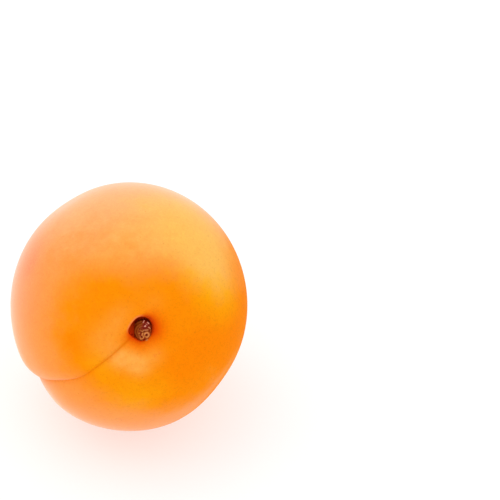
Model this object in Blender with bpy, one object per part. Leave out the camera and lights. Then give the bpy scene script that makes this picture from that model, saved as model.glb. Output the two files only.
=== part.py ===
"""A whole ripe apricot with the dried stub of its stalk, resting on a small flat spot.

The fruit is shaped in a frame of its own. There +Z runs out through the stalk end, the polar angle is
counted from it, and longitude 0 is the suture, the crease that runs from the stalk cup to the tip.
The finished fruit is then laid in the world frame, in metres, with the floor at Z = 0, the stalk end
raised towards -Y and the suture low on the -X side.
"""

from math import asin, atan2, cos, exp, hypot, pi, prod, radians, sin, sqrt

import bmesh
import bpy
from mathutils import Matrix, Vector

MM = 0.001

# The body before its crease, cup and lumps.
HALF_LENGTH = 27.0 * MM  # middle to either end, along the stalk axis
CHEEK_RADIUS = 25.05 * MM  # middle to the cheeks, across the stalk axis
OVAL_SHARE = 0.023  # how far the cross-section is from round
OVAL_AT = radians(48)  # longitude of its long side
EGG_SHARE = 0.03  # how much fuller the stalk half is than the tip half
SQUARENESS = 2.12  # 2 is an ellipse, more gives fuller shoulders

# The suture. One cheek rolls over steeply into the crease, the other slopes gently up from it.
CREASE_DEPTH = 1.45 * MM
CREASE_FADE = 0.8  # power of sin(polar) by which the crease dies out towards both ends
ROLL_WIDTH = 3.6 * MM
SLOPE_WIDTH = 8.0 * MM
RIDGE_HEIGHT = 0.12 * MM  # swelling of the steep cheek beside the crease
RIDGE_OFFSET = 4.2 * MM
RIDGE_SPAN = 2.8 * MM
SUTURE_TURN = radians(-2.2)  # turn of the crease from longitude 0
# Where the crease wanders from a straight meridian: polar angle, span and swing.
SWAYS = (
    (radians(15), radians(9), radians(3.0)),
    (radians(33), radians(15), radians(5.5)),
    (radians(125), radians(28), radians(-2.5)),
)

# The stalk end: a broad dip between the shoulders, and in it a small deep cup.
DIP_DEPTH = 1.7 * MM
DIP_SPAN = 8.0 * MM
CUP_MOUTH = 2.76 * MM
CUP_OVAL = 0.03  # how far the mouth is from round
CUP_OVAL_AT = radians(63)
# Where the mouth is flattened: longitude, span and depth.
CUP_FLATS = (
    (radians(-75), radians(38), 0.33 * MM),
    (radians(24), radians(38), 0.50 * MM),
    (radians(95), radians(36), 0.55 * MM),
)
CUP_TAPER = 0.9  # width of the cup's floor as a part of its mouth's
CUP_DEPTH = 2.4 * MM
FLOOR_SHARE = 0.6  # part of the cup's rings that lie on its floor
LIP_ROUNDING = 0.12 * MM
LIP_ROUNDING_SPAN = 0.25 * MM
SLUMP_DEPTH = 0.95 * MM  # one side of the lip slopes in softly
SLUMP_SPAN = 1.5 * MM
SLUMP_AT = radians(111)

# The tip: a shallow dimple with a small point in it.
DIMPLE_DEPTH = 0.6 * MM
DIMPLE_SPAN = 3.6 * MM
POINT_HEIGHT = 0.35 * MM
POINT_SPAN = 0.8 * MM

# Soft lumps and hollows: polar angle, longitude, span and height.
LUMPS = (
    (radians(20), radians(34), 3.2 * MM, 0.28 * MM),
    (radians(29), radians(-31), 4.5 * MM, -0.22 * MM),
    (radians(31), radians(125), 6.0 * MM, -0.30 * MM),
    (radians(64), radians(-160), 9.0 * MM, 0.30 * MM),
    (radians(52), radians(-80), 7.0 * MM, 0.20 * MM),
    (radians(75), radians(75), 8.0 * MM, 0.22 * MM),
    (radians(96), radians(105), 12.0 * MM, -0.45 * MM),
    (radians(112), radians(-95), 8.0 * MM, -0.20 * MM),
    (radians(128), radians(60), 7.0 * MM, 0.25 * MM),
    (radians(140), radians(-160), 8.0 * MM, 0.22 * MM),
    (radians(81), radians(5), 6.0 * MM, -0.55 * MM),
    (radians(93), radians(-95), 4.5 * MM, -0.22 * MM),
    (radians(88), radians(-62), 9.0 * MM, 0.14 * MM),
    (radians(67), radians(105), 7.0 * MM, -0.28 * MM),
    (radians(68), radians(-9), 5.0 * MM, -0.30 * MM),
)

# The dried stub in the cup.
STUB_HALF_WIDTH = 1.45 * MM
STUB_HALF_LENGTH = 1.70 * MM
STUB_LONG_AT = radians(-128)  # longitude of its long side
STUB_HEIGHT = 1.7 * MM
STUB_OFFSET = 0.12 * MM  # towards the soft side of the lip
STUB_KNOBS = 0.10 * MM
# Waves of the knobbly surface: strength, then turns and start along each axis.
KNOB_WAVES = ((1.0, (5.1, 6.3, 4.7), (0.7, 1.9, 0.4)), (0.5, (11.3, 9.7, 8.9), (2.2, 0.3, 1.1)))
SEAT_GAP = 0.3 * MM  # clearance between the stub and the cup's floor

# Finishes: colour, roughness and the angle above which an edge stays sharp.
SKIN_FINISH = ("apricot_skin", (0.88, 0.28, 0.02), 0.6)
STUB_FINISH = ("dried_stub", (0.22, 0.10, 0.04), 0.9)
SHARP_ANGLE = radians(50)

# Meshes.
MERIDIANS = 64
RINGS = 44
CUP_RINGS = 5
CROWD_MERIDIANS = 0.72  # how strongly the meridians crowd towards the suture
CROWD_RINGS = 1.25  # power by which the rings crowd towards the stalk end
STUB_SUBDIVISIONS = 4
CUT_SNAP = 0.01 * MM  # corners this close to the floor are taken to lie on it
RIM_MERGE = 0.4 * MM  # corners of the flat spot closer than this become one

# The pose: the stalk axis leans up from the floor, and the fruit is turned about it.
STALK_RISE = radians(28.2)
STALK_ROLL = radians(214.6)
MIDDLE = Vector((0.0, 0.0, 25.6 * MM))  # leaves about 0.6 mm of the underside to press flat


def bell(distance, span):
    """A smooth hump, 1 at distance 0 and nearly 0 at twice the span."""
    return exp(-((distance / span) ** 2))


def direction(polar, longitude):
    """The unit vector at a polar angle from the stalk axis and a longitude from the suture."""
    return Vector((sin(polar) * cos(longitude), sin(polar) * sin(longitude), cos(polar)))


def body_radius(polar, longitude):
    """Distance from the middle to the smooth body."""
    oval = 1 + OVAL_SHARE * cos(2 * (longitude - OVAL_AT))
    across = CHEEK_RADIUS * oval * (1 + EGG_SHARE * cos(polar))
    along_part = (abs(cos(polar)) / HALF_LENGTH) ** SQUARENESS
    across_part = (sin(polar) / across) ** SQUARENESS
    return (along_part + across_part) ** (-1 / SQUARENESS)


def crease_relief(polar, longitude, radius):
    """Height of the surface above the smooth body near the suture."""
    depth = CREASE_DEPTH * sin(polar) ** CREASE_FADE
    offset = radius * sin(polar) * longitude
    if offset < 0:
        share = max(0.0, 1 + offset / ROLL_WIDTH)
        groove = 1 - sqrt(1 - share * share)
    else:
        groove = max(0.0, 1 - offset / SLOPE_WIDTH) ** 2
    ridge = RIDGE_HEIGHT * bell(offset + RIDGE_OFFSET, RIDGE_SPAN) * sin(polar) ** 2
    return ridge - depth * groove


def lump_relief(along):
    """Height of the soft lumps and hollows where the unit vector meets the skin."""
    height = 0.0
    for polar, longitude, span, rise in LUMPS:
        distance = CHEEK_RADIUS * (along - direction(polar, longitude)).length
        height += rise * bell(distance, span)
    return height


def cup_mouth(longitude):
    """Reach of the cup's lip from the stalk axis: an oval with flattened sides."""
    flat = 0.0
    for at, span, depth in CUP_FLATS:
        flat += depth * bell((longitude - at + pi) % (2 * pi) - pi, span)
    return CUP_MOUTH * (1 + CUP_OVAL * cos(2 * (longitude - CUP_OVAL_AT))) - flat


def lip_polar(longitude):
    """The polar angle of the cup's lip."""
    return asin(cup_mouth(longitude) / HALF_LENGTH)


def outer_point(polar, longitude):
    """A point of the skin outside the cup."""
    along = direction(polar, longitude)
    radius = body_radius(polar, longitude)
    radius += crease_relief(polar, longitude, radius) + lump_relief(along)
    point = along * radius
    reach = hypot(point.x, point.y)
    if point.z < 0:
        point.z += DIMPLE_DEPTH * bell(reach, DIMPLE_SPAN) - POINT_HEIGHT * bell(reach, POINT_SPAN)
        return point
    soft_side = (1 + cos(longitude - SLUMP_AT)) / 2
    past_lip = max(reach - cup_mouth(longitude), -LIP_ROUNDING_SPAN)
    point.z -= DIP_DEPTH * bell(reach, DIP_SPAN)
    point.z -= LIP_ROUNDING * exp(-past_lip / LIP_ROUNDING_SPAN)
    point.z -= SLUMP_DEPTH * soft_side * exp(-past_lip / SLUMP_SPAN)
    return point


def cup_floor_height():
    """Height of the cup's floor, measured down from the crisp side of its lip."""
    crisp_side = SLUMP_AT - pi
    return outer_point(lip_polar(crisp_side), crisp_side).z - CUP_DEPTH


def cup_point(share, longitude):
    """A point inside the cup: share 0 is the middle of its floor, and 1 is its lip."""
    reach = CUP_TAPER * cup_mouth(longitude) * min(share / FLOOR_SHARE, 1.0)
    floor = Vector((reach * cos(longitude), reach * sin(longitude), cup_floor_height()))
    if share <= FLOOR_SHARE:
        return floor
    lip = outer_point(lip_polar(longitude), longitude)
    return floor.lerp(lip, (share - FLOOR_SHARE) / (1 - FLOOR_SHARE))


def crease_sway(polar):
    """How far the suture is turned from longitude 0."""
    return SUTURE_TURN + sum(swing * bell(polar - centre, span) for centre, span, swing in SWAYS)


def skin_point(ring, meridian):
    """A point of the fruit from its ring, counted from the stalk, and the angle of its meridian."""
    longitude = meridian - CROWD_MERIDIANS * sin(meridian)
    lip = lip_polar(longitude)
    if ring <= CUP_RINGS:
        point = cup_point(ring / CUP_RINGS, longitude)
        return Matrix.Rotation(crease_sway(lip), 3, "Z") @ point
    share = (ring - CUP_RINGS) / (RINGS - CUP_RINGS)
    polar = lip + (pi - lip) * share**CROWD_RINGS
    return Matrix.Rotation(crease_sway(polar), 3, "Z") @ outer_point(polar, longitude)


def resting_pose():
    """The transform from the fruit's own frame to the world."""
    lean = Matrix.Rotation(pi / 2 - STALK_RISE, 4, "X")
    return Matrix.Translation(MIDDLE) @ lean @ Matrix.Rotation(STALK_ROLL, 4, "Z")


def press_flat(mesh):
    """Cut the underside off at the floor and close it with a flat face."""
    everything = mesh.verts[:] + mesh.edges[:] + mesh.faces[:]
    cut = bmesh.ops.bisect_plane(
        mesh, geom=everything, dist=CUT_SNAP, plane_co=(0, 0, 0), plane_no=(0, 0, -1), clear_outer=True
    )
    rim = [item for item in cut["geom_cut"] if isinstance(item, bmesh.types.BMVert)]
    bmesh.ops.remove_doubles(mesh, verts=rim, dist=RIM_MERGE)
    rim = [edge for edge in mesh.edges if edge.is_boundary]
    bmesh.ops.contextual_create(mesh, geom=rim)


def material(name, colour, roughness):
    """A plain matt finish."""
    finish = bpy.data.materials.new(name)
    finish.use_nodes = True
    shader = finish.node_tree.nodes["Principled BSDF"]
    shader.inputs["Base Color"].default_value = (*colour, 1.0)
    shader.inputs["Roughness"].default_value = roughness
    shader.inputs["Metallic"].default_value = 0.0
    return finish


def add_object(name, mesh, finish):
    """Turn a finished bmesh into a smooth-shaded object of the scene, in its finish."""
    bmesh.ops.recalc_face_normals(mesh, faces=mesh.faces)
    data = bpy.data.meshes.new(name)
    mesh.to_mesh(data)
    mesh.free()
    data.shade_smooth()
    data.set_sharp_from_angle(angle=SHARP_ANGLE)
    data.materials.append(material(*finish))
    made = bpy.data.objects.new(name, data)
    bpy.context.scene.collection.objects.link(made)
    return made


def build_fruit():
    """The fruit itself: one solid, with its suture, cup and flat spot."""
    mesh = bmesh.new()
    bmesh.ops.create_uvsphere(mesh, u_segments=MERIDIANS, v_segments=RINGS, radius=1.0)
    for vert in mesh.verts:
        reach = hypot(vert.co.x, vert.co.y)
        ring = round(atan2(reach, vert.co.z) / pi * RINGS)
        meridian = atan2(vert.co.y, vert.co.x) if 0 < ring < RINGS else 0.0
        vert.co = skin_point(ring, meridian)
    mesh.transform(resting_pose())
    press_flat(mesh)
    return add_object("fruit", mesh, SKIN_FINISH)


def stub_knobs(along):
    """Uneven height of the stub's dry, corky surface."""
    height = 0.0
    for strength, turns, starts in KNOB_WAVES:
        height += strength * prod(sin(turn * part + start) for turn, part, start in zip(turns, along, starts))
    return STUB_KNOBS * height


def build_stub():
    """The dried end of the stalk, a knobbly button that stands clear of the cup all round."""
    mesh = bmesh.new()
    bmesh.ops.create_icosphere(mesh, subdivisions=STUB_SUBDIVISIONS, radius=1.0)
    for vert in mesh.verts:
        along = vert.co.normalized()
        knobs = stub_knobs(along)
        vert.co = Vector((
            (STUB_HALF_LENGTH + knobs) * along.x,
            (STUB_HALF_WIDTH + knobs) * along.y,
            (STUB_HEIGHT + knobs) * max(along.z, 0.0),
        ))
    seat = Vector((STUB_OFFSET * cos(SLUMP_AT), STUB_OFFSET * sin(SLUMP_AT), cup_floor_height() + SEAT_GAP))
    mesh.transform(Matrix.Translation(seat) @ Matrix.Rotation(STUB_LONG_AT, 4, "Z"))
    mesh.transform(resting_pose())
    return add_object("stem_stub", mesh, STUB_FINISH)


def clear_scene():
    """Remove every object that the scene starts with."""
    for item in list(bpy.data.objects):
        bpy.data.objects.remove(item, do_unlink=True)


clear_scene()
build_fruit()
build_stub()
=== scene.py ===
"""A whole ripe apricot in its downy skin, with the dried stub of its stalk in the cup.

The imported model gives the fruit's place and size. Here it gets its fine surface: the skin with its
suture, cup and tip, and the corky stub. Lengths are in metres and +Z is up.
"""

import logging
from dataclasses import dataclass
from enum import Enum
from math import cos, pi, radians, sin
from typing import Any, NamedTuple

import bmesh
import bpy
import numpy as np
from mathutils import Matrix, Vector


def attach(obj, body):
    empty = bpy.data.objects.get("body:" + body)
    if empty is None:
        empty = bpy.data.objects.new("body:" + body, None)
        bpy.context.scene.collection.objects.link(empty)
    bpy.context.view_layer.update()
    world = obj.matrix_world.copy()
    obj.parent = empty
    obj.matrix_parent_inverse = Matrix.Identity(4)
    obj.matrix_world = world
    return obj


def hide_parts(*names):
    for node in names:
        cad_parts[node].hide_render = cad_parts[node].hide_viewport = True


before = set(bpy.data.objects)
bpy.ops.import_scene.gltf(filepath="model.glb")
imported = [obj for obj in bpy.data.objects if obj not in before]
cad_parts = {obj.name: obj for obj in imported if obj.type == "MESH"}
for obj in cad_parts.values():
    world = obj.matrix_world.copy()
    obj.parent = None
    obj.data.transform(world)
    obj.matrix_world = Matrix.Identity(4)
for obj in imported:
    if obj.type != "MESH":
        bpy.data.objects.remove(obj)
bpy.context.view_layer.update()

MM = 0.001
ROOT = "root"
AT_POLE = 1e-6  # points of a unit ball that are nearer to its axis lie at its pole

Array = np.ndarray
Colour = tuple[float, float, float]
Span = tuple[float, float]
Table = tuple[tuple[float, float, float], ...]

log = logging.getLogger("apricot")


# ---- Shader tools ----


class Sum(Enum):
    """What a Math node does with its inputs."""

    ADD = "ADD"
    SUBTRACT = "SUBTRACT"
    MULTIPLY = "MULTIPLY"
    POWER = "POWER"


class Blend(Enum):
    """How one colour is laid over another."""

    MIX = "MIX"
    MULTIPLY = "MULTIPLY"


@dataclass(frozen=True)
class Value:
    """A number or colour that a shader works out, so that sums on it are written in Python."""

    shader: "Shader"
    socket: bpy.types.NodeSocket

    def math(self, work: Sum, *terms: Any) -> "Value":
        """The result of a Math node whose inputs, in order, are values or plain numbers."""
        return self.shader.node("ShaderNodeMath", {"operation": work.value}, dict(enumerate(terms)))

    def __add__(self, other: Any) -> "Value":
        """This value plus another."""
        return self.math(Sum.ADD, self, other)

    def __sub__(self, other: Any) -> "Value":
        """This value minus another."""
        return self.math(Sum.SUBTRACT, self, other)

    def __rsub__(self, other: Any) -> "Value":
        """Another value minus this one."""
        return self.math(Sum.SUBTRACT, other, self)

    def __mul__(self, other: Any) -> "Value":
        """This value times another."""
        return self.math(Sum.MULTIPLY, self, other)

    def __pow__(self, other: Any) -> "Value":
        """This value to a power."""
        return self.math(Sum.POWER, self, other)

    __radd__ = __add__
    __rmul__ = __mul__

    def ramp(self, low: float, high: float) -> "Value":
        """Rise smoothly from 0 at low to 1 at high."""
        settings = {"interpolation_type": "SMOOTHSTEP"}
        return self.shader.node("ShaderNodeMapRange", settings, {"Value": self, 1: low, 2: high})


class Shader:
    """The node tree of one material, with a method for each kind of step."""

    def __init__(self, name: str) -> None:
        """Start a material with only its output and a Principled shader.

        Args:
            name: the material's name.
        """
        self.material = bpy.data.materials.new(name)
        self.material.use_nodes = True
        self.tree = self.material.node_tree
        self.surface = self.tree.nodes["Principled BSDF"]

    def node(self, kind: str, settings: dict[str, Any], sockets: dict[Any, Any], output: Any = 0) -> Value:
        """Add a node.

        Args:
            kind: the node's type.
            settings: the node's own settings, set first.
            sockets: what each input holds, as a value to link or a constant.
            output: the name or number of the output to hand on.

        Returns:
            The chosen output.
        """
        made = self.tree.nodes.new(kind)
        for name, setting in settings.items():
            setattr(made, name, setting)
        for name, content in sockets.items():
            self.feed(made.inputs[name], content)
        return Value(self, made.outputs[output])

    def feed(self, socket: bpy.types.NodeSocket, content: Any) -> None:
        """Link a value to a socket, or set its constant.

        Args:
            socket: the input to feed.
            content: a value to link, or a number, vector or colour to hold.
        """
        if isinstance(content, Value):
            self.tree.links.new(content.socket, socket)
        elif socket.type == "RGBA" and len(content) == 3:
            socket.default_value = (*content, 1.0)
        else:
            socket.default_value = content

    def set(self, **sockets: Any) -> None:
        """Feed the Principled shader's sockets, named with _ for each space."""
        for name, content in sockets.items():
            self.feed(self.surface.inputs[name.replace("_", " ")], content)

    def mix_in(self, share: Value, **sockets: Any) -> None:
        """Blend a second Principled shader into the first.

        Args:
            share: how much of the second shows, from 0 to 1.
            sockets: what its sockets hold, named with _ for each space.
        """
        named = {name.replace("_", " "): content for name, content in sockets.items()}
        second = self.node("ShaderNodeBsdfPrincipled", {}, named)
        first = Value(self, self.surface.outputs[0])
        both = self.node("ShaderNodeMixShader", {}, {0: share, 1: first, 2: second})
        self.feed(self.tree.nodes["Material Output"].inputs["Surface"], both)

    def place(self) -> Value:
        """The point on the object, in metres."""
        return self.node("ShaderNodeTexCoord", {}, {}, "Object")

    def painted(self, name: str) -> Value:
        """A mask that the mesh carries."""
        return self.node("ShaderNodeAttribute", {"attribute_name": name}, {}, "Fac")

    def noise(self, size: float, detail: float = 2.0, roughness: float = 0.5) -> Value:
        """Cloudy noise from 0 to 1 with features of about the given size."""
        sockets = {"Vector": self.place(), "Scale": 1.0 / size, "Detail": detail, "Roughness": roughness}
        return self.node("ShaderNodeTexNoise", {}, sockets, "Fac")

    def dots(self, spacing: float) -> Value:
        """Distance to the nearest of scattered points, in parts of their spacing."""
        sockets = {"Vector": self.place(), "Scale": 1.0 / spacing}
        return self.node("ShaderNodeTexVoronoi", {}, sockets, "Distance")

    def grey(self, level: Value) -> Value:
        """A neutral colour of the given brightness."""
        return self.node("ShaderNodeCombineColor", {}, {0: level, 1: level, 2: level})

    def lay(self, share: Any, under: Any, over: Any, blend: Blend = Blend.MIX) -> Value:
        """Lay one colour over another by a share from 0 to 1."""
        settings = {"data_type": "RGBA", "blend_type": blend.value}
        return self.node("ShaderNodeMix", settings, {0: share, 6: under, 7: over}, 2)

    def bump(self, height: Value, depth: float, strength: float) -> Value:
        """Turn a height from 0 to 1 into a normal, with its full depth in metres."""
        sockets = {"Height": height, "Distance": depth, "Strength": strength}
        return self.node("ShaderNodeBump", {}, sockets, "Normal")


# ---- Measures ----


def bell(distance: Array, span: float) -> Array:
    """A smooth hump, 1 at distance 0 and nearly 0 at twice the span."""
    return np.exp(-((distance / span) ** 2))


def held(amount: Array) -> Array:
    """The amount, held between 0 and 1."""
    return np.clip(amount, 0.0, 1.0)


def wrapped(angle: Array) -> Array:
    """Angles brought between half a turn back and half a turn on."""
    return (angle + pi) % (2 * pi) - pi


def turned(points: Array, angle: Any) -> Array:
    """Turn points about their Z axis.

    Args:
        points: the points, one a row.
        angle: how far, as one angle or one for each point.

    Returns:
        The turned points.
    """
    across, along, height = points.T
    ahead, aside = np.cos(angle), np.sin(angle)
    return np.stack((across * ahead - along * aside, across * aside + along * ahead, height), axis=-1)


def around(table: Table, longitude: Array, blur: float = 8.0) -> tuple[Array, Array]:
    """Read a table against longitude, a little smoothed.

    Args:
        table: rows of a longitude in degrees and the two numbers that hold there.
        longitude: where to read it.
        blur: how far to each side the reading is evened out, in degrees.

    Returns:
        The two numbers at each longitude.
    """
    turns, *columns = np.array(table).T
    places = [longitude + step for step in np.radians(np.linspace(-blur, blur, 5))]
    first, second = (
        np.mean([np.interp(place, np.radians(turns), column, period=2 * pi) for place in places], axis=0)
        for column in columns
    )
    return first, second


def outward(polar: Any, longitude: Any) -> Array:
    """Unit vectors at the given angles, one a row."""
    ring = np.sin(polar)
    return np.stack((ring * np.cos(longitude), ring * np.sin(longitude), np.cos(polar)), axis=-1)


@dataclass(frozen=True)
class Spot:
    """A soft round place on the skin, by its angles, its span and how strong it is."""

    polar: float
    longitude: float
    span: float
    strength: float

    def level(self, along: Array, radius: float) -> Array:
        """Strength of the spot where unit vectors meet a ball of the given radius."""
        distance = radius * np.linalg.norm(along - outward(self.polar, self.longitude), axis=1)
        return self.strength * bell(distance, self.span)


def spots(*rows: tuple[float, float, float, float]) -> tuple[Spot, ...]:
    """Spots from rows of what a Spot holds, with the angles in degrees and the span in millimetres."""
    return tuple(Spot(radians(row[0]), radians(row[1]), row[2] * MM, row[3]) for row in rows)


@dataclass(frozen=True)
class Swell:
    """A smooth rise round one angle, by its middle, its span and its height."""

    middle: float
    span: float
    height: float = 1.0

    def level(self, angle: Array) -> Array:
        """Height of the rise at each angle."""
        return self.height * bell(wrapped(angle - self.middle), self.span)


@dataclass(frozen=True)
class Outline:
    """A soft closed line round the stalk end.

    Each crossing is a longitude, and the line's polar angle and width there, all in degrees.
    """

    crossings: Table
    blur: float = 15.0
    copies: int = 7

    def inside(self, polar: Array, longitude: Array) -> Array:
        """Tell how far inside the line each point lies.

        Args:
            polar: angles from the stalk end.
            longitude: angles round it.

        Returns:
            From 1 well inside the line to 0 well outside it.
        """
        total = np.zeros(len(polar))
        for step in np.radians(np.linspace(-self.blur, self.blur, self.copies)):
            line, width = around(self.crossings, longitude + step)
            total += held(0.5 + (line - np.degrees(polar)) / width)
        return total / self.copies


# ---- The fruit's form ----


@dataclass(frozen=True)
class FruitForm:
    """The shape of the skin, in a frame whose +Z runs out through the stalk end.

    The polar angle is counted from +Z and longitude 0 is the suture. The sizes repeat those of the
    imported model, so that the skin lies where its solid does. The lumps' heights are in millimetres.
    """

    half_length: float = 27.0 * MM
    cheek_radius: float = 25.05 * MM
    oval_share: float = 0.023
    oval_at: float = radians(48)
    egg_share: float = 0.03
    squareness: float = 2.12
    crease_depth: float = 1.45 * MM
    crease_fade: float = 0.8
    roll_width: float = 3.6 * MM
    slope_width: float = 8.0 * MM
    ridge_height: float = 0.12 * MM
    ridge_offset: float = 4.2 * MM
    ridge_span: float = 2.8 * MM
    suture_turn: float = radians(-2.2)
    sways: tuple[Swell, ...] = (
        Swell(radians(15), radians(9), radians(3.0)),
        Swell(radians(33), radians(15), radians(5.5)),
        Swell(radians(125), radians(28), radians(-2.5)),
    )
    dip_depth: float = 1.7 * MM
    dip_span: float = 8.0 * MM
    cup_mouth: float = 2.76 * MM
    cup_oval: float = 0.03
    cup_oval_at: float = radians(63)
    cup_bends: tuple[Swell, ...] = (
        Swell(radians(-75), radians(38), -0.33 * MM),
        Swell(radians(-35), radians(16), 0.1 * MM),
        Swell(radians(24), radians(38), -0.5 * MM),
        Swell(radians(95), radians(36), -0.55 * MM),
    )
    cup_depth: float = 2.4 * MM
    undercut: float = 0.12 * MM
    soft_wall: float = 0.75 * MM
    soft_flare: float = 0.8
    floor_share: float = 0.4
    lip_rounding: float = 0.12 * MM
    lip_rounding_span: float = 0.25 * MM
    slump_depth: float = 0.95 * MM
    slump_span: float = 1.5 * MM
    slump_at: float = radians(111)
    dimple_depth: float = 0.6 * MM
    dimple_span: float = 3.6 * MM
    point_height: float = 0.35 * MM
    point_span: float = 0.8 * MM
    stalk_rise: float = radians(28.2)
    stalk_roll: float = radians(214.6)
    middle_height: float = 25.6 * MM
    lumps: tuple[Spot, ...] = spots(
        (20, 34, 3.2, 0.28), (29, -31, 4.5, -0.22), (31, 125, 6, -0.3), (64, -160, 9, 0.3),
        (52, -80, 7, 0.2), (75, 75, 8, 0.22), (96, 105, 12, -0.45), (112, -95, 8, -0.2),
        (128, 60, 7, 0.25), (140, -160, 8, 0.22), (81, 5, 6, -0.55), (93, -95, 4.5, -0.22),
        (88, -62, 9, 0.14), (67, 105, 7, -0.28), (68, -9, 5, -0.3),
    )

    def mouth(self, longitude: Array) -> Array:
        """Reach of the cup's lip: an oval with three flat sides and a corner near the suture."""
        oval = self.cup_mouth * (1 + self.cup_oval * np.cos(2 * (longitude - self.cup_oval_at)))
        return oval + sum(bend.level(longitude) for bend in self.cup_bends)

    def lip_polar(self, longitude: Array) -> Array:
        """The polar angle of the cup's lip."""
        return np.arcsin(self.mouth(longitude) / self.half_length)

    def softness(self, longitude: Array) -> Array:
        """How soft the cup's edge is, from 0 on the crisp side to 1 on the slumped one."""
        return (1 + np.cos(longitude - self.slump_at)) / 2

    def sway(self, polar: Array) -> Array:
        """How far the suture wanders from a straight meridian."""
        return self.suture_turn + sum(swing.level(polar) for swing in self.sways)

    def pose(self) -> Matrix:
        """The transform from the fruit's own frame to the world."""
        leaning = Matrix.Rotation(pi / 2 - self.stalk_rise, 4, "X") @ Matrix.Rotation(self.stalk_roll, 4, "Z")
        return Matrix.Translation((0.0, 0.0, self.middle_height)) @ leaning

    def body_radius(self, polar: Array, longitude: Array) -> Array:
        """Find the distance from the middle to the smooth body.

        Args:
            polar: angles from the stalk end.
            longitude: angles round it.

        Returns:
            The distance at each point.
        """
        oval = 1 + self.oval_share * np.cos(2 * (longitude - self.oval_at))
        across = self.cheek_radius * oval * (1 + self.egg_share * np.cos(polar))
        along_part = (np.abs(np.cos(polar)) / self.half_length) ** self.squareness
        across_part = (np.abs(np.sin(polar)) / across) ** self.squareness
        return (along_part + across_part) ** (-1 / self.squareness)

    def crease_offset(self, polar: Array, longitude: Array) -> Array:
        """Distance along the skin from the suture, below 0 on the cheek that rolls over."""
        return self.body_radius(polar, longitude) * np.sin(polar) * wrapped(longitude)

    def crease_relief(self, polar: Array, longitude: Array) -> Array:
        """Find the height of the skin above the smooth body near the suture.

        Args:
            polar: angles from the stalk end.
            longitude: angles from the suture.

        Returns:
            The height at each point, below 0 in the groove.
        """
        ring = held(np.sin(polar))
        offset = self.crease_offset(polar, longitude)
        rolled = held(1 + offset / self.roll_width)
        sloped = held(1 - offset / self.slope_width)
        groove = np.where(offset < 0, 1 - np.sqrt(1 - rolled**2), sloped**2)
        ridge = self.ridge_height * bell(offset + self.ridge_offset, self.ridge_span) * ring**2
        return ridge - self.crease_depth * ring**self.crease_fade * groove

    def spread(self, places: tuple[Spot, ...], along: Array) -> Array:
        """The summed strength of soft places where unit vectors meet the skin."""
        return sum(place.level(along, self.cheek_radius) for place in places)

    def outer_points(self, polar: Array, longitude: Array) -> Array:
        """Find the skin outside the cup.

        Args:
            polar: angles from the stalk end.
            longitude: angles from the suture.

        Returns:
            The points, one a row.
        """
        along = outward(polar, longitude)
        radius = self.body_radius(polar, longitude) + self.crease_relief(polar, longitude)
        points = along * (radius + MM * self.spread(self.lumps, along))[:, None]
        reach = np.hypot(points[:, 0], points[:, 1])
        dimple = self.dimple_depth * bell(reach, self.dimple_span)
        point = self.point_height * bell(reach, self.point_span)
        past_lip = np.maximum(reach - self.mouth(longitude), -self.lip_rounding_span)
        dip = self.dip_depth * bell(reach, self.dip_span)
        dip += self.lip_rounding * np.exp(-past_lip / self.lip_rounding_span)
        dip += self.slump_depth * self.softness(longitude) * np.exp(-past_lip / self.slump_span)
        points[:, 2] += np.where(points[:, 2] < 0, dimple - point, -dip)
        return points

    def floor_height(self) -> float:
        """Height of the cup's floor, measured down from the crisp side of its lip."""
        crisp_side = np.array([self.slump_at + pi])
        return float(self.outer_points(self.lip_polar(crisp_side), crisp_side)[0, 2]) - self.cup_depth

    def cup_points(self, share: Array, longitude: Array) -> Array:
        """Find the skin inside the cup.

        Args:
            share: from 0 in the middle of the cup's floor to 1 at its lip.
            longitude: angles from the suture.

        Returns:
            The points, one a row.
        """
        soft = self.softness(longitude)
        lip = self.outer_points(self.lip_polar(longitude), longitude)
        lip_reach = np.hypot(lip[:, 0], lip[:, 1])
        edge = self.mouth(longitude) + self.undercut - (self.undercut + self.soft_wall) * soft
        climb = held((share - self.floor_share) / (1 - self.floor_share))
        on_wall = edge + (lip_reach - edge) * climb ** (1 + self.soft_flare * soft)
        reach = np.where(share < self.floor_share, edge * share / self.floor_share, on_wall)
        floor = self.floor_height()
        height = floor + (lip[:, 2] - floor) * climb
        return np.stack((reach * np.cos(longitude), reach * np.sin(longitude), height), axis=-1)


# ---- Meshes ----


def meshed(name: str, shape: bmesh.types.BMesh) -> bpy.types.Mesh:
    """Turn a shape that was modelled into a mesh.

    Args:
        name: the mesh's name.
        shape: the shape, which is freed.

    Returns:
        The new mesh.
    """
    mesh = bpy.data.meshes.new(name)
    shape.to_mesh(mesh)
    shape.free()
    return mesh


def points_of(mesh: bpy.types.Mesh) -> Array:
    """The mesh's points, one a row."""
    return np.array([vertex.co[:] for vertex in mesh.vertices])


def in_world(points: Array, pose: Matrix) -> Array:
    """Points moved by a transform."""
    turn = np.array(pose.to_3x3())
    return points @ turn.T + np.array(pose.translation)


def paint(mesh: bpy.types.Mesh, masks: dict[str, Array]) -> None:
    """Store masks on a mesh for its finish to read.

    Args:
        mesh: the mesh to paint.
        masks: for each mask's name, one number from 0 to 1 a point.
    """
    for name, values in masks.items():
        mask = mesh.attributes.new(name, "FLOAT", "POINT")
        mask.data.foreach_set("value", held(values).astype(np.float32))


def added(data: Any) -> bpy.types.Object:
    """Put a mesh, a lamp or a camera in the scene.

    Args:
        data: what to add.

    Returns:
        A new object of the same name that holds it.
    """
    made = bpy.data.objects.new(data.name, data)
    bpy.context.scene.collection.objects.link(made)
    return made


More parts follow.
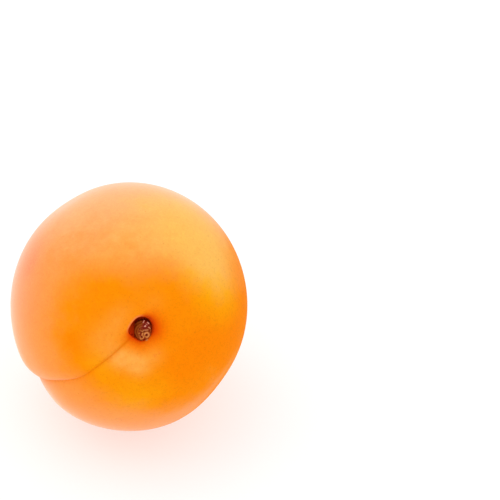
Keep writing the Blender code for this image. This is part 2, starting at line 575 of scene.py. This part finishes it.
@dataclass(frozen=True)
class CreaseLine:
    """A soft line along the suture, strongest near the fruit's two ends.

    It has a width, a power that squares off its edge, its least strength and the reach of its full one.
    """

    width: float
    fall: float
    least: float
    reach: float

    def strength(self, offset: Array, reach: Array) -> Array:
        """Strength of the line at points by their distances from the suture and from the axis."""
        along = self.least + (1 - self.least) * bell(reach, self.reach)
        return np.exp(-((offset / self.width) ** self.fall)) * along


@dataclass(frozen=True)
class SkinZones:
    """Where the skin is bare, downy, golden and blushed, and where shade, sheen and light are painted on it.

    Each row of the cup's table holds a longitude in degrees, how strong the painted red shade round the cup
    is there and its width in millimetres. Where that width is under the crisp limit, the lip has a painted
    pinkish sheen line.
    """

    bare: Outline = Outline(
        (
            (-165, 36, 22), (-150, 29, 22), (-135, 25, 22), (-120, 21, 22), (-105, 27, 22), (-90, 37, 22),
            (-75, 37, 24), (-60, 37, 24), (-30, 40, 22), (-12, 39, 22), (0, 35, 22), (15, 39, 22),
            (30, 35, 16), (45, 36, 18), (60, 42, 24), (75, 47, 30), (90, 49, 34), (105, 51, 26),
            (120, 59, 22), (133, 74, 22), (143, 95, 22), (156, 95, 24), (163, 38, 32), (173, 28, 22),
        )
    )
    sleek: tuple[Spot, ...] = spots(
        (88, 162, 14, 1), (60, 163, 9, 0.7), (64, 122, 8, 0.6), (88, 76, 14, 0.9), (86, 116, 9, 0.5),
        (70, 99, 8, 0.6), (68, -13, 5, 0.4),
    )
    # Painted sheen on the top of the fruit, where the light falls.
    top_sheen: tuple[Spot, ...] = spots((90, -124, 27, 1.0))
    # A pinkish tint with painted sheen at the left rim.
    rosy_and_rim_sheen: tuple[Spot, ...] = spots((84, -62, 12, 0.6), (62, -48, 7, 0.25))
    gold: tuple[Spot, ...] = spots(
        (48, -166, 10, 0.75), (66, -150, 12, 0.6), (41, 172, 6, 0.28), (44, 153, 6, 0.35),
        (23, -2, 4, 0.45), (30, 18, 4, 0.15), (28, 38, 4.5, 0.08), (28, 70, 6, 0.14),
        (31, 50, 6, 0.45), (44, -120, 5, 0.22), (33, -100, 6, 0.28),
    )
    deep: tuple[Spot, ...] = spots(
        (29, -82, 4.5, 0.4), (31, -27, 3.6, 0.9), (27, 118, 6.5, 0.8), (23, 98, 4.5, 0.5),
        (50, 130, 8, 0.8), (75, 146, 9, 0.9), (86, 160, 10, 0.7),
    )
    blush: tuple[Spot, ...] = spots(
        (74, -68, 8, 0.4), (67, -65, 1.8, 0.12), (13, 80, 0.45, 0.4), (13, 91, 0.5, 0.45),
        (128, -100, 12, 0.62), (118, -62, 9, 0.4), (138, -140, 9, 0.35),
    )
    pale: tuple[Spot, ...] = spots(
        (16, 14, 2.2, 0.85), (14, 34, 1.8, 0.7), (16, 50, 2.2, 0.85), (17, -22, 3.7, 0.55),
        (12, -62, 2.6, 0.38), (12, -95, 2.4, 0.2), (14, -150, 2.6, 0.25), (13, 80, 2.2, 0.45),
        (44, 38, 5, 0.22),
    )
    # Painted red shade round the cup's lip, fading outwards; the inside of the cup takes it in full.
    glow_and_cup_shade: Table = (
        (-165, 1, 1.85), (-150, 0.97, 1.15), (-135, 0.82, 0.58), (-120, 0.5, 0.16), (-90, 0.35, 0.13),
        (-60, 0.35, 0.2), (-42, 0.5, 0.35), (-30, 0.8, 0.6), (-15, 0.95, 1.15), (15, 0.92, 1.25),
        (45, 0.8, 1.3), (75, 0.62, 1.55), (90, 0.65, 1.8), (105, 0.78, 2), (135, 1, 2.15),
        (165, 1, 2), (180, 1, 1.7),
    )
    cup_shade_fall: float = 1.5
    crisp_shade_width: float = 0.9
    # A painted pinkish sheen line along the crisp side of the lip.
    lip_sheen_at: float = 0.16 * MM
    lip_sheen_span: float = 0.18 * MM
    # Painted shade just outside the lip on its upper side.
    brim_shade: Swell = Swell(radians(-160), radians(28))
    brim_shade_reach: float = 0.5 * MM
    # Painted light in the cup beside the suture, lifting its shade.
    painted_cup_light: Swell = Swell(0.0, radians(42))
    # Painted shade deep in the cup, strongest on its crisp side.
    shade_side: Swell = Swell(radians(-98), radians(40), 0.7)
    shade_least: float = 0.2
    shade_depth: float = 0.5
    # Painted shade along the suture's groove.
    crease_shade: CreaseLine = CreaseLine(0.42 * MM, 1.2, 0.25, 12 * MM)
    fold: CreaseLine = CreaseLine(0.9 * MM, 1.5, 0.45, 11 * MM)
    tip_span: float = 1.6 * MM

    def masks(self, form: FruitForm, polar: Array, longitude: Array, points: Array) -> dict[str, Array]:
        """Work out every mask that the skin's finish reads.

        Args:
            form: the fruit's form.
            polar: angles from the stalk end.
            longitude: angles from the suture.
            points: the points in the fruit's own frame, one a row.

        Returns:
            For each mask's name, one number a point.
        """
        along = points / np.linalg.norm(points, axis=1)[:, None]
        reach = np.hypot(points[:, 0], points[:, 1])
        offset = np.abs(form.crease_offset(polar, longitude))
        outside = polar > form.lip_polar(longitude)
        # The spots on the top are painted sheen, and the pinkish ones at the left rim partly so.
        spotted = {
            "sleek": self.sleek, "top_sheen": self.top_sheen, "rosy_and_rim_sheen": self.rosy_and_rim_sheen, "gold": self.gold,
            "deep": self.deep, "blush": self.blush, "pale": self.pale,
        }
        return {
            "bare": self.bare.inside(np.arctan2(reach, points[:, 2]), np.arctan2(points[:, 1], points[:, 0])),
            **{name: form.spread(places, along) for name, places in spotted.items()},
            **self.cup_masks(form, longitude, points, outside),
            # Painted shade along the suture's groove.
            "crease_shade": outside * self.crease_shade.strength(offset, reach),
            "fold": self.fold.strength(offset, reach),
            "tip": (points[:, 2] < 0) * bell(reach, self.tip_span),
        }

    def cup_masks(self, form: FruitForm, longitude: Array, points: Array, outside: Array) -> dict[str, Array]:
        """Work out the painted shade, sheen and light of the cup and of the skin close round it.

        Args:
            form: the fruit's form.
            longitude: angles from the suture.
            points: the points in the fruit's own frame, one a row.
            outside: whether each point is outside the cup.

        Returns:
            For each mask's name, one number a point.
        """
        near_stalk = points[:, 2] > 0
        rim, cup = near_stalk & outside, near_stalk & ~outside
        past_lip = np.maximum(np.hypot(points[:, 0], points[:, 1]) - form.mouth(longitude), 0.0)
        strength, width = around(self.glow_and_cup_shade, longitude)
        glow_and_cup_shade = strength * np.exp(-((past_lip / (width * MM)) ** self.cup_shade_fall))
        crisp = held(1 - width / self.crisp_shade_width)
        below_lip = form.floor_height() + form.cup_depth - points[:, 2]
        sunk = held(below_lip / (self.shade_depth * form.cup_depth))
        # Painted shade round the lip, just outside it and deep in the cup, a painted sheen line on the lip,
        # painted light by the suture.
        return {
            "glow_and_cup_shade": rim * glow_and_cup_shade + cup,
            "lip": rim * crisp * bell(past_lip - self.lip_sheen_at, self.lip_sheen_span),
            "brim_shade": rim * self.brim_shade.level(longitude) * bell(past_lip, self.brim_shade_reach),
            "painted_cup_light": cup * self.painted_cup_light.level(longitude),
            "shade": cup * sunk * (self.shade_least + self.shade_side.level(longitude)),
        }


@dataclass(frozen=True)
class SkinSurface:
    """The fruit's skin as one fine closed mesh, its points crowded towards the suture and the cup."""

    form: FruitForm = FruitForm()
    zones: SkinZones = SkinZones()
    meridians: int = 288
    rings: int = 216
    cup_rings: int = 22
    crowd_meridians: float = 0.72
    crowd_rings: float = 1.2
    press_blend: float = 0.1 * MM

    def build(self) -> bpy.types.Object:
        """Model the skin and paint its masks.

        Returns:
            The finished object, still without its material.
        """
        shape = bmesh.new()
        bmesh.ops.create_uvsphere(shape, u_segments=self.meridians, v_segments=self.rings, radius=1.0)
        bmesh.ops.recalc_face_normals(shape, faces=shape.faces)
        mesh = meshed("apricot_skin", shape)
        polar, longitude, points = self.shaped(points_of(mesh))
        world = in_world(points, self.form.pose())
        world[:, 2] = self.pressed(world[:, 2])
        mesh.vertices.foreach_set("co", world.ravel())
        paint(mesh, self.zones.masks(self.form, polar, longitude, points))
        mesh.shade_smooth()
        return added(mesh)

    def shaped(self, ball: Array) -> tuple[Array, Array, Array]:
        """Turn a unit ball into the fruit.

        Args:
            ball: the ball's points, one a row.

        Returns:
            Each point's polar angle and longitude, and the points on the fruit.
        """
        form = self.form
        reach = np.hypot(ball[:, 0], ball[:, 1])
        ring = np.rint(np.arctan2(reach, ball[:, 2]) / pi * self.rings)
        meridian = np.where(reach > AT_POLE, np.arctan2(ball[:, 1], ball[:, 0]), 0.0)
        longitude = meridian - self.crowd_meridians * np.sin(meridian)
        lip = form.lip_polar(longitude)
        outer = held((ring - self.cup_rings) / (self.rings - self.cup_rings))
        polar = lip + (pi - lip) * outer**self.crowd_rings
        inner = np.minimum(ring / self.cup_rings, 1.0)
        in_cup = ring <= self.cup_rings
        cup = form.cup_points(inner, longitude)
        points = np.where(in_cup[:, None], cup, form.outer_points(polar, longitude))
        return np.where(in_cup, lip * inner, polar), longitude, turned(points, form.sway(polar))

    def pressed(self, height: Array) -> Array:
        """Flatten what would lie below the floor, with a soft edge."""
        return self.press_blend * np.logaddexp(0.0, height / self.press_blend)


# ---- Finishes ----


class Shares(NamedTuple):
    """How much of each random pattern goes into a sum, and an even part."""

    clouds: float = 0.0
    mottle: float = 0.0
    fleck: float = 0.0
    grain: float = 0.0
    even: float = 0.0


class Patterns(NamedTuple):
    """The random patterns of the skin, from broad clouds to fine grain, in the order of Shares."""

    clouds: Value
    mottle: Value
    fleck: Value
    grain: Value

    def total(self, shares: Shares) -> Value:
        """The patterns added up in the given shares."""
        return sum((pattern * share for pattern, share in zip(self, shares) if share), shares.even)


@dataclass(frozen=True)
class SkinFinish:
    """Thin matt skin over ripe flesh, under a coat of down that shows pale at the edges."""

    orange: Colour = (0.96, 0.258, 0.001)
    deep_orange: Colour = (0.96, 0.232, 0.0005)
    downy: Colour = (0.97, 0.285, 0.033)
    # Painted sheen on the top, and a pinkish tint with painted sheen at the left rim.
    top_sheen_peach: Colour = (0.98, 0.41, 0.145)
    rosy_and_rim_sheen: Colour = (0.98, 0.275, 0.11)
    golden: Colour = (0.98, 0.5, 0.092)
    amber: Colour = (0.98, 0.42, 0.003)
    blush_red: Colour = (0.9, 0.085, 0.018)
    blush_pink: Colour = (0.93, 0.19, 0.06)
    paler: Colour = (0.98, 0.39, 0.065)
    # Painted shade in the suture's groove and round and in the cup, a painted sheen line on the lip, painted
    # light by the suture.
    crease_shade_orange: Colour = (0.8, 0.2, 0.001)
    lip_sheen_pink: Colour = (0.84, 0.25, 0.1)
    cup_shade_red: Colour = (0.74, 0.05, 0.0003)
    cup_light_red: Colour = (0.96, 0.075, 0.002)
    cup_shade_maroon: Colour = (0.27, 0.009, 0.0005)
    brim_shade_brown: Colour = (0.46, 0.034, 0.003)
    tip_tan: Colour = (0.8, 0.42, 0.16)
    speck_brown: Colour = (0.7, 0.16, 0.01)
    cloud_size: float = 6 * MM
    mottle_size: float = 1.6 * MM
    fleck_size: float = 0.6 * MM
    grain_size: float = 0.28 * MM
    drift: Shares = Shares(clouds=0.85, mottle=0.2, even=-0.525)
    slight_drift: float = 0.5
    bare_edge: Span = (0.1, 0.9)
    top_sheen_edge: Span = (0.3, 0.85)
    gold_edge: Span = (0.1, 1.2)
    deep_edge: Span = (0.2, 1.1)
    pale_fall: float = 1.5
    pale_patches: Shares = Shares(mottle=0.8, even=0.5)
    blush_patches: Shares = Shares(clouds=1.2, mottle=0.4, even=0.2)
    blush_edge: Span = (0.1, 1.1)
    speckle_edge: Span = (0.42, 0.62)
    pore_spacing: float = 2.2 * MM
    pore_edge: Span = (0.075, 0.035)
    pore_strength: float = 0.45
    dapple: Shares = Shares(mottle=0.1, fleck=0.22, grain=0.26, even=0.7)
    # How strongly the painted red shade round the cup is laid on.
    cup_shade_strength: float = 0.95
    tip_strength: float = 0.6
    roughness: Shares = Shares(mottle=0.12, even=0.56)
    relief: Shares = Shares(fleck=0.5, grain=0.5)
    relief_depth: float = 0.05 * MM
    relief_strength: float = 0.7
    shine: float = 0.012
    flesh_share: float = 0.15
    flesh_colour: Colour = (1.0, 0.35, 0.08)
    flesh_depth: float = 2.5 * MM
    down_roughness: float = 0.38
    down_tint: Colour = (1.0, 0.86, 0.76)

    def make(self) -> bpy.types.Material:
        """Build the material.

        Returns:
            The finished material.
        """
        shader = Shader("apricot_skin")
        patterns = Patterns(
            clouds=shader.noise(self.cloud_size, detail=3.0),
            mottle=shader.noise(self.mottle_size),
            fleck=shader.noise(self.fleck_size, roughness=0.6),
            grain=shader.noise(self.grain_size, detail=1.0),
        )
        drift = patterns.total(self.drift)
        bare = (shader.painted("bare") + drift).ramp(*self.bare_edge)
        colour = self.ground(shader, drift, bare)
        colour = self.flushed(shader, patterns, colour)
        colour = self.lined(shader, colour)
        flesh = {
            "Base_Color": colour,
            "Roughness": patterns.total(self.roughness),
            "Normal": shader.bump(patterns.total(self.relief), self.relief_depth, self.relief_strength),
            "Specular_IOR_Level": self.shine,
            "Subsurface_Weight": self.flesh_share,
            "Subsurface_Radius": self.flesh_colour,
            "Subsurface_Scale": self.flesh_depth,
        }
        shader.set(**flesh)
        down = 1 - bare
        for smooth in ("glow_and_cup_shade", "fold", "sleek"):
            down = down * (1 - shader.painted(smooth))
        sheen = {"Sheen_Weight": 1.0, "Sheen_Roughness": self.down_roughness, "Sheen_Tint": self.down_tint}
        shader.mix_in(down, **flesh, **sheen)
        return shader.material

    def ground(self, shader: Shader, drift: Value, bare: Value) -> Value:
        """Colour the downy skin, with painted sheen on its top and a pinkish tint with painted sheen at its
        left rim, and the bare skin.

        Args:
            shader: the material being built.
            drift: random wandering of the edges between colours.
            bare: how bare the skin is, from 0 to 1.

        Returns:
            The colour of the ground.
        """
        # Painted sheen on the top, and below, a pinkish tint with painted sheen at the left rim.
        top_sheen = (shader.painted("top_sheen") + drift * self.slight_drift).ramp(*self.top_sheen_edge)
        gold = (shader.painted("gold") + drift * self.slight_drift).ramp(*self.gold_edge)
        deep = (shader.painted("deep") + drift).ramp(*self.deep_edge)
        downy = shader.lay(top_sheen, self.downy, self.top_sheen_peach)
        downy = shader.lay(gold, downy, self.golden)
        downy = shader.lay(shader.painted("rosy_and_rim_sheen"), downy, self.rosy_and_rim_sheen)
        smooth = shader.lay(deep, self.orange, self.deep_orange)
        smooth = shader.lay(gold, smooth, self.amber)
        return shader.lay(bare, downy, smooth)

    def flushed(self, shader: Shader, patterns: Patterns, colour: Value) -> Value:
        """Lay the pale patches, the blush, the pores and the fine dapple over the ground.

        Args:
            shader: the material being built.
            patterns: the random patterns of the skin.
            colour: the colour of the ground.

        Returns:
            The colour with its patches.
        """
        pale = shader.painted("pale") ** self.pale_fall * patterns.total(self.pale_patches)
        blush = (shader.painted("blush") * patterns.total(self.blush_patches)).ramp(*self.blush_edge)
        speckled = shader.lay(patterns.grain.ramp(*self.speckle_edge), self.blush_red, self.blush_pink)
        pores = shader.dots(self.pore_spacing).ramp(*self.pore_edge)
        colour = shader.lay(pale, colour, self.paler)
        colour = shader.lay(blush, colour, speckled)
        colour = shader.lay(pores * self.pore_strength, colour, self.speck_brown)
        return shader.lay(1.0, colour, shader.grey(patterns.total(self.dapple)), Blend.MULTIPLY)

    def lined(self, shader: Shader, colour: Value) -> Value:
        """Lay the suture groove's painted shade, the cup's painted shade, sheen and light, and the tip over
        the skin.

        Args:
            shader: the material being built.
            colour: the skin's colour.

        Returns:
            The finished colour.
        """
        # Painted shade in the suture's groove, round and in the cup and just outside its lip, a painted sheen
        # line, painted light by the suture.
        layers = (
            (shader.painted("crease_shade"), self.crease_shade_orange),
            (shader.painted("lip"), self.lip_sheen_pink),
            (shader.painted("glow_and_cup_shade") * self.cup_shade_strength, self.cup_shade_red),
            (shader.painted("brim_shade"), self.brim_shade_brown),
            (shader.painted("painted_cup_light"), self.cup_light_red),
            (shader.painted("shade"), self.cup_shade_maroon),
            (shader.painted("tip") * self.tip_strength, self.tip_tan),
        )
        for share, over in layers:
            colour = shader.lay(share, colour, over)
        return colour


@dataclass(frozen=True)
class StubFinish:
    """Dry, corky wood: tan on its knobs and dark red-brown between them, with painted shade in the gaps, on
    the smooth side and at the upper end, and pale pinkish painted glints on the upper knobs.
    """

    knob_tan: Colour = (0.66, 0.225, 0.06)
    # Pale pinkish painted glints on the upper knobs' tops.
    knob_glint_pink: Colour = (0.92, 0.44, 0.32)
    bark_brown: Colour = (0.38, 0.095, 0.01)
    # Painted shade on the bark at the upper end.
    bark_shade_maroon: Colour = (0.26, 0.018, 0.004)
    # Olive bark of the smooth side, darkened as painted shade.
    olive_bark_shade: Colour = (0.3, 0.06, 0.002)
    # Dark cork in the gaps between the knobs, deepened with painted shade.
    gap_shade_dark: Colour = (0.2, 0.008, 0.0005)
    fibre_size: float = 0.16 * MM
    fibre_drift: float = 0.35
    bark_shade_edge: Span = (0.1, 0.6)
    smooth_lift: float = 0.25
    gap_edge: Span = (0.0, 0.6)
    top_edge: Span = (0.45, 1.05)
    knob_edge: Span = (0.1, 0.7)
    roughness: float = 0.4
    fibre_roughness: float = 0.25
    fibre_depth: float = 0.04 * MM
    fibre_strength: float = 0.8
    shine: float = 0.1

    def make(self) -> bpy.types.Material:
        """Build the material.

        Returns:
            The finished material.
        """
        shader = Shader("dried_stub")
        fibre = shader.noise(self.fibre_size, detail=3.0, roughness=0.6)
        knobbly, glint_and_shade = shader.painted("knobbly"), shader.painted("glint_and_shade")
        cork = shader.painted("cork") + (fibre - 0.5) * self.fibre_drift
        # Painted shade on the bark at the upper end, and painted glints on the knob tops there.
        bark = shader.lay(glint_and_shade.ramp(*self.bark_shade_edge), self.bark_brown, self.bark_shade_maroon)
        # The smooth side's olive bark carries painted shade.
        bark = shader.lay(knobbly, self.olive_bark_shade, bark)
        raised = (cork + (1 - knobbly) * self.smooth_lift).ramp(*self.gap_edge)
        tops = cork.ramp(*self.top_edge) * knobbly.ramp(*self.knob_edge)
        # Dark cork in the gaps, deepened with painted shade.
        colour = shader.lay(raised, self.gap_shade_dark, bark)
        colour = shader.lay(tops, colour, shader.lay(glint_and_shade, self.knob_tan, self.knob_glint_pink))
        shader.set(
            Base_Color=colour,
            Roughness=fibre * self.fibre_roughness + self.roughness,
            Normal=shader.bump(fibre, self.fibre_depth, self.fibre_strength),
            Specular_IOR_Level=self.shine,
        )
        return shader.material


@dataclass(frozen=True)
class FloorFinish:
    """Matt white paper on a light table, very slightly uneven."""

    paper: Colour = (0.5, 0.5, 0.5)
    paper_dip: Colour = (0.49, 0.49, 0.49)
    dip_size: float = 60 * MM
    dip_edge: Span = (0.3, 0.7)
    roughness: float = 0.9
    glow_and_cup_shade: float = 0.54

    def make(self) -> bpy.types.Material:
        """Build the material.

        Returns:
            The finished material.
        """
        shader = Shader("studio_paper")
        dip = shader.noise(self.dip_size).ramp(*self.dip_edge)
        shader.set(
            Base_Color=shader.lay(dip, self.paper, self.paper_dip),
            Roughness=self.roughness,
            Specular_IOR_Level=0.0,
            Emission_Color=(1.0, 1.0, 1.0),
            Emission_Strength=self.glow_and_cup_shade,
        )
        return shader.material


# ---- Sub-assemblies ----


@dataclass(frozen=True)
class Fruit:
    """The fruit itself, in its skin."""

    surface: SkinSurface = SkinSurface()
    finish: SkinFinish = SkinFinish()

    def build(self) -> bpy.types.Object:
        """Build the skin, dress it and put it in the solid's place.

        Returns:
            The finished skin.
        """
        skin = self.surface.build()
        skin.data.materials.append(self.finish.make())
        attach(skin, ROOT)
        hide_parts("fruit")
        return skin


@dataclass(frozen=True)
class Scar:
    """A ring of cork round a small pit, by its place on the stub, its sizes and where it is open."""

    across: float
    along: float
    ring: float
    pit: float
    height: float
    open_at: float = 0.0
    open_share: float = 0.0
    open_span: float = radians(48)
    ring_width: float = 0.6
    border: float = 1.5

    def press(self, height: Array, base: Array, depth: float) -> Array:
        """Stamp the ring and its pit into the cork.

        Args:
            height: the cork's height at each point so far.
            base: points of the smooth button.
            depth: how deep the pit goes.

        Returns:
            The cork's height with the scar in it.
        """
        across, along = base[:, 0] - self.across, base[:, 1] - self.along
        distance = np.hypot(across, along)
        opening = Swell(self.open_at, self.open_span, self.open_share).level(np.arctan2(along, across))
        from_ring = distance - (self.ring + self.pit) / 2
        ring = self.height * (1 - opening) * bell(from_ring, (self.ring - self.pit) * self.ring_width)
        inside = held(self.border - distance / self.ring)
        return height * (1 - inside) + (ring - depth * bell(distance, self.pit)) * inside


@dataclass(frozen=True)
class Ridge:
    """A short straight ridge of cork, by its middle on the stub, its sizes and its turn."""

    across: float
    along: float
    length: float
    width: float
    height: float
    turn: float

    def rise(self, base: Array) -> Array:
        """Work out the ridge's height.

        Args:
            base: points of the smooth button.

        Returns:
            The height at each point.
        """
        across, along = base[:, 0] - self.across, base[:, 1] - self.along
        beyond = np.abs(across * cos(self.turn) + along * sin(self.turn)) - self.length / 2
        aside = along * cos(self.turn) - across * sin(self.turn)
        return self.height * bell(np.hypot(np.maximum(beyond, 0.0), aside), self.width)


def cork_ridges(*rows: tuple[float, float, float, float, float, float]) -> tuple[Ridge, ...]:
    """Ridges from rows of what a Ridge holds, in millimetres and with the turn in degrees."""
    return tuple(Ridge(*(size * MM for size in sizes), radians(turn)) for *sizes, turn in rows)


@dataclass(frozen=True)
class StalkStub:
    """The dried end of the stalk, a corky oval button sunk in the cup."""

    form: FruitForm = FruitForm()
    finish: StubFinish = StubFinish()
    half_width: float = 1.74 * MM
    half_length: float = 2.25 * MM
    height: float = 1.95 * MM
    foot_share: float = 0.1
    squareness: float = 2.5
    offset: float = 0.65 * MM
    offset_at: float = radians(106)
    long_axis: float = radians(-128)
    subdivisions: int = 6
    wave_count: int = 24
    fold_pitch: float = 0.95 * MM
    fold_pitch_range: Span = (0.75, 1.3)
    fold_width: float = 0.44
    fold_share: float = 0.45
    hoop_pitch: float = 0.4 * MM
    hoop_width: float = 0.6
    hoop_share: float = 0.7
    relief_height: float = 0.3 * MM
    side_relief: float = 0.6
    side_relief_rise: float = 2.0
    smooth_edge: float = -0.92 * MM
    smooth_edge_shift: float = 0.75 * MM
    smooth_shift_from: float = 0.6 * MM
    smooth_shift_over: float = 0.8 * MM
    smooth_blend: float = 0.45 * MM
    # Where the painted glints and shade of the upper end lie.
    glint_across: float = 0.35 * MM
    glint_along: float = 1.45 * MM
    glint_span: float = 0.95 * MM
    seed: int = 11
    scars: tuple[Scar, ...] = (
        Scar(0.51 * MM, -0.58 * MM, 0.66 * MM, 0.22 * MM, 0.38 * MM, radians(215), 0.25),
        Scar(-0.38 * MM, -1.04 * MM, 0.5 * MM, 0.16 * MM, 0.32 * MM, radians(118), 0.85),
        Scar(-0.81 * MM, 0.57 * MM, 0.34 * MM, 0.17 * MM, 0.2 * MM),
    )
    ridges: tuple[Ridge, ...] = cork_ridges(
        (0.22, 1.07, 0.16, 0.17, 0.36, 20), (0.02, 1.87, 0.36, 0.13, 0.36, 52),
        (0.82, 1.57, 0.42, 0.12, 0.32, -42), (0.5, 1.37, 0.34, 0.1, 0.26, -38),
        (1.02, 0.73, 0.4, 0.12, 0.32, -40), (0.44, 0.35, 0.6, 0.14, 0.3, 4),
        (-0.46, 0.19, 0.42, 0.11, 0.26, -24), (-0.48, 1.07, 0.6, 0.09, 0.2, 14),
        (-0.88, -0.27, 0.1, 0.14, 0.28, 0), (0.58, -1.65, 0.5, 0.13, 0.34, 46),
        (1.24, -1.05, 0.4, 0.11, 0.24, 60),
    )
    bridges: tuple[Ridge, ...] = cork_ridges(
        (-0.3, -0.42, 0.4, 0.14, 0.36, 78), (-0.14, 0.22, 0.34, 0.1, 0.26, 62),
        (-0.62, -1.36, 0.34, 0.1, 0.28, -62),
    )

    def build(self) -> bpy.types.Object:
        """Model the knobbly button, dress it and put it in the solid's place.

        Returns:
            The finished stub.
        """
        shape = bmesh.new()
        bmesh.ops.create_icosphere(shape, subdivisions=self.subdivisions, radius=1.0)
        mesh = meshed("stalk_stub", shape)
        along = points_of(mesh)
        base = self.button(along)
        relief = self.relief(base)
        upper = held(along[:, 2] * self.side_relief_rise + self.side_relief)
        points = base + along * (relief * upper)[:, None]
        mesh.vertices.foreach_set("co", in_world(self.seated(points), self.form.pose()).ravel())
        # The painted glints and shade of the upper end.
        glint_and_shade = bell(np.hypot(base[:, 0] - self.glint_across, base[:, 1] - self.glint_along), self.glint_span)
        paint(mesh, {"cork": relief / self.relief_height, "knobbly": self.knobbly(base), "glint_and_shade": glint_and_shade})
        mesh.shade_smooth()
        mesh.materials.append(self.finish.make())
        stub = added(mesh)
        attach(stub, ROOT)
        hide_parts("stem_stub")
        return stub

    def button(self, along: Array) -> Array:
        """Shape the smooth button, with its long axis on Y and a flat foot.

        Args:
            along: unit vectors, one a row.

        Returns:
            The button's point at each vector.
        """
        axes = np.array((self.half_width, self.half_length, self.height))
        size = np.sum(np.abs(along) ** self.squareness, axis=1) ** (-1 / self.squareness)
        points = along * size[:, None] * axes
        points[:, 2] = np.maximum(points[:, 2], -self.foot_share * self.height)
        return points

    def folds(self, base: Array) -> Array:
        """Fold the cork in winding ridges, where many waves of random turn cancel out.

        Args:
            base: points of the smooth button.

        Returns:
            From 0 between the ridges to 1 along their tops.
        """
        draw = np.random.default_rng(self.seed)
        total = np.zeros(len(base))
        for _ in range(self.wave_count):
            turn, phase = draw.uniform(-pi, pi, 2)
            pitch = self.fold_pitch * draw.uniform(*self.fold_pitch_range)
            total += np.cos((base[:, 0] * cos(turn) + base[:, 1] * sin(turn)) * 2 * pi / pitch + phase)
        return bell(total / np.sqrt(self.wave_count), self.fold_width)

    def knobbly(self, base: Array) -> Array:
        """Tell where the cork has broken through the smooth bark; the smooth side's colour also carries
        painted shade.

        Args:
            base: points of the smooth button.

        Returns:
            From 0 on the smooth side to 1 on the knobbly one.
        """
        shift = held((base[:, 1] - self.smooth_shift_from) / self.smooth_shift_over)
        edge = self.smooth_edge + self.smooth_edge_shift * shift
        return held(0.5 + (base[:, 0] - edge) / self.smooth_blend)

    def relief(self, base: Array) -> Array:
        """Raise the cork above the smooth button, with faint hoops on one side and knobs on the other.

        Args:
            base: points of the smooth button.

        Returns:
            The cork's height at each point.
        """
        knobbly = self.knobbly(base)
        from_middle = np.hypot(base[:, 0], base[:, 1])
        hoops = self.hoop_share * bell(np.sin(from_middle * pi / self.hoop_pitch), self.hoop_width)
        folds = self.fold_share * self.folds(base)
        height = self.relief_height * (hoops * (1 - knobbly) + folds * knobbly)
        for ridge in self.ridges:
            height = np.maximum(height, ridge.rise(base))
        for scar in self.scars:
            height = scar.press(height, base, self.relief_height)
        for bridge in self.bridges:
            height = np.maximum(height, bridge.rise(base))
        return height

    def seated(self, points: Array) -> Array:
        """The button's points turned to the stub's long axis and sunk in the cup."""
        across, along = self.offset * cos(self.offset_at), self.offset * sin(self.offset_at)
        return turned(points, self.long_axis - pi / 2) + (across, along, self.form.floor_height())


@dataclass(frozen=True)
class Studio:
    """White floor, soft light and the camera."""

    middle: Vector
    finish: FloorFinish = FloorFinish()
    floor_radius: float = 3.0
    floor_sides: int = 96
    sky: float = 1.0
    lamp_place: tuple[float, float, float] = (-0.4, 0.15, 0.8)
    lamp_size: float = 1.0
    lamp_power: float = 2.0
    view_azimuth: float = radians(-6.7)
    view_elevation: float = radians(40.0)
    distance: float = 0.62
    frame_width: float = 104.15 * MM
    aim_right: float = 25.3 * MM
    aim_up: float = 11.5 * MM

    def build(self) -> None:
        """Set up the whole studio."""
        self.lay_floor()
        self.pitch_tent()
        self.hang_lamp()
        self.place_camera()

    def lay_floor(self) -> None:
        """Lay a round sheet of paper under the fruit."""
        shape = bmesh.new()
        bmesh.ops.create_circle(shape, cap_ends=True, segments=self.floor_sides, radius=self.floor_radius)
        mesh = meshed("studio_floor", shape)
        mesh.materials.append(self.finish.make())
        added(mesh)

    def pitch_tent(self) -> None:
        """Surround everything with an even white tent."""
        world = bpy.data.worlds.new("studio_tent")
        world.use_nodes = True
        background = world.node_tree.nodes["Background"].inputs
        background["Color"].default_value = (1.0, 1.0, 1.0, 1.0)
        background["Strength"].default_value = self.sky
        bpy.context.scene.world = world
        bpy.context.scene.view_settings.view_transform = "Standard"

    def hang_lamp(self) -> None:
        """Hang a square soft box high on the left, facing the fruit."""
        lamp = bpy.data.lights.new("top_left_box", "AREA")
        lamp.size = self.lamp_size
        lamp.energy = self.lamp_power
        holder = added(lamp)
        holder.location = self.lamp_place
        holder.rotation_euler = (self.middle - holder.location).to_track_quat("-Z", "Y").to_euler()

    def place_camera(self) -> None:
        """Look down on the fruit with a long lens, turned so that it stands low on the left."""
        azimuth, elevation = self.view_azimuth, self.view_elevation
        level = cos(elevation)
        towards = Vector((sin(azimuth) * level, -cos(azimuth) * level, sin(elevation)))
        right = Vector((cos(azimuth), sin(azimuth), 0.0))
        upwards = towards.cross(right)
        eye = self.middle + towards * self.distance
        back = (towards * self.distance - right * self.aim_right - upwards * self.aim_up).normalized()
        side = upwards.cross(back).normalized()
        camera = bpy.data.cameras.new("camera")
        camera.lens = camera.sensor_width * self.distance / self.frame_width
        holder = added(camera)
        turn = Matrix((side, back.cross(side), back)).transposed()
        holder.matrix_world = Matrix.Translation(eye) @ turn.to_4x4()
        bpy.context.scene.camera = holder


def main() -> None:
    """Build the studio and every piece of the apricot."""
    logging.basicConfig(level=logging.INFO, format="%(message)s")
    Studio(middle=Vector((0.0, 0.0, FruitForm().middle_height))).build()
    for assembly in (Fruit(), StalkStub()):
        piece = assembly.build()
        log.info("%s: %d faces", piece.name, len(piece.data.polygons))


if __name__ == "__main__":
    main()
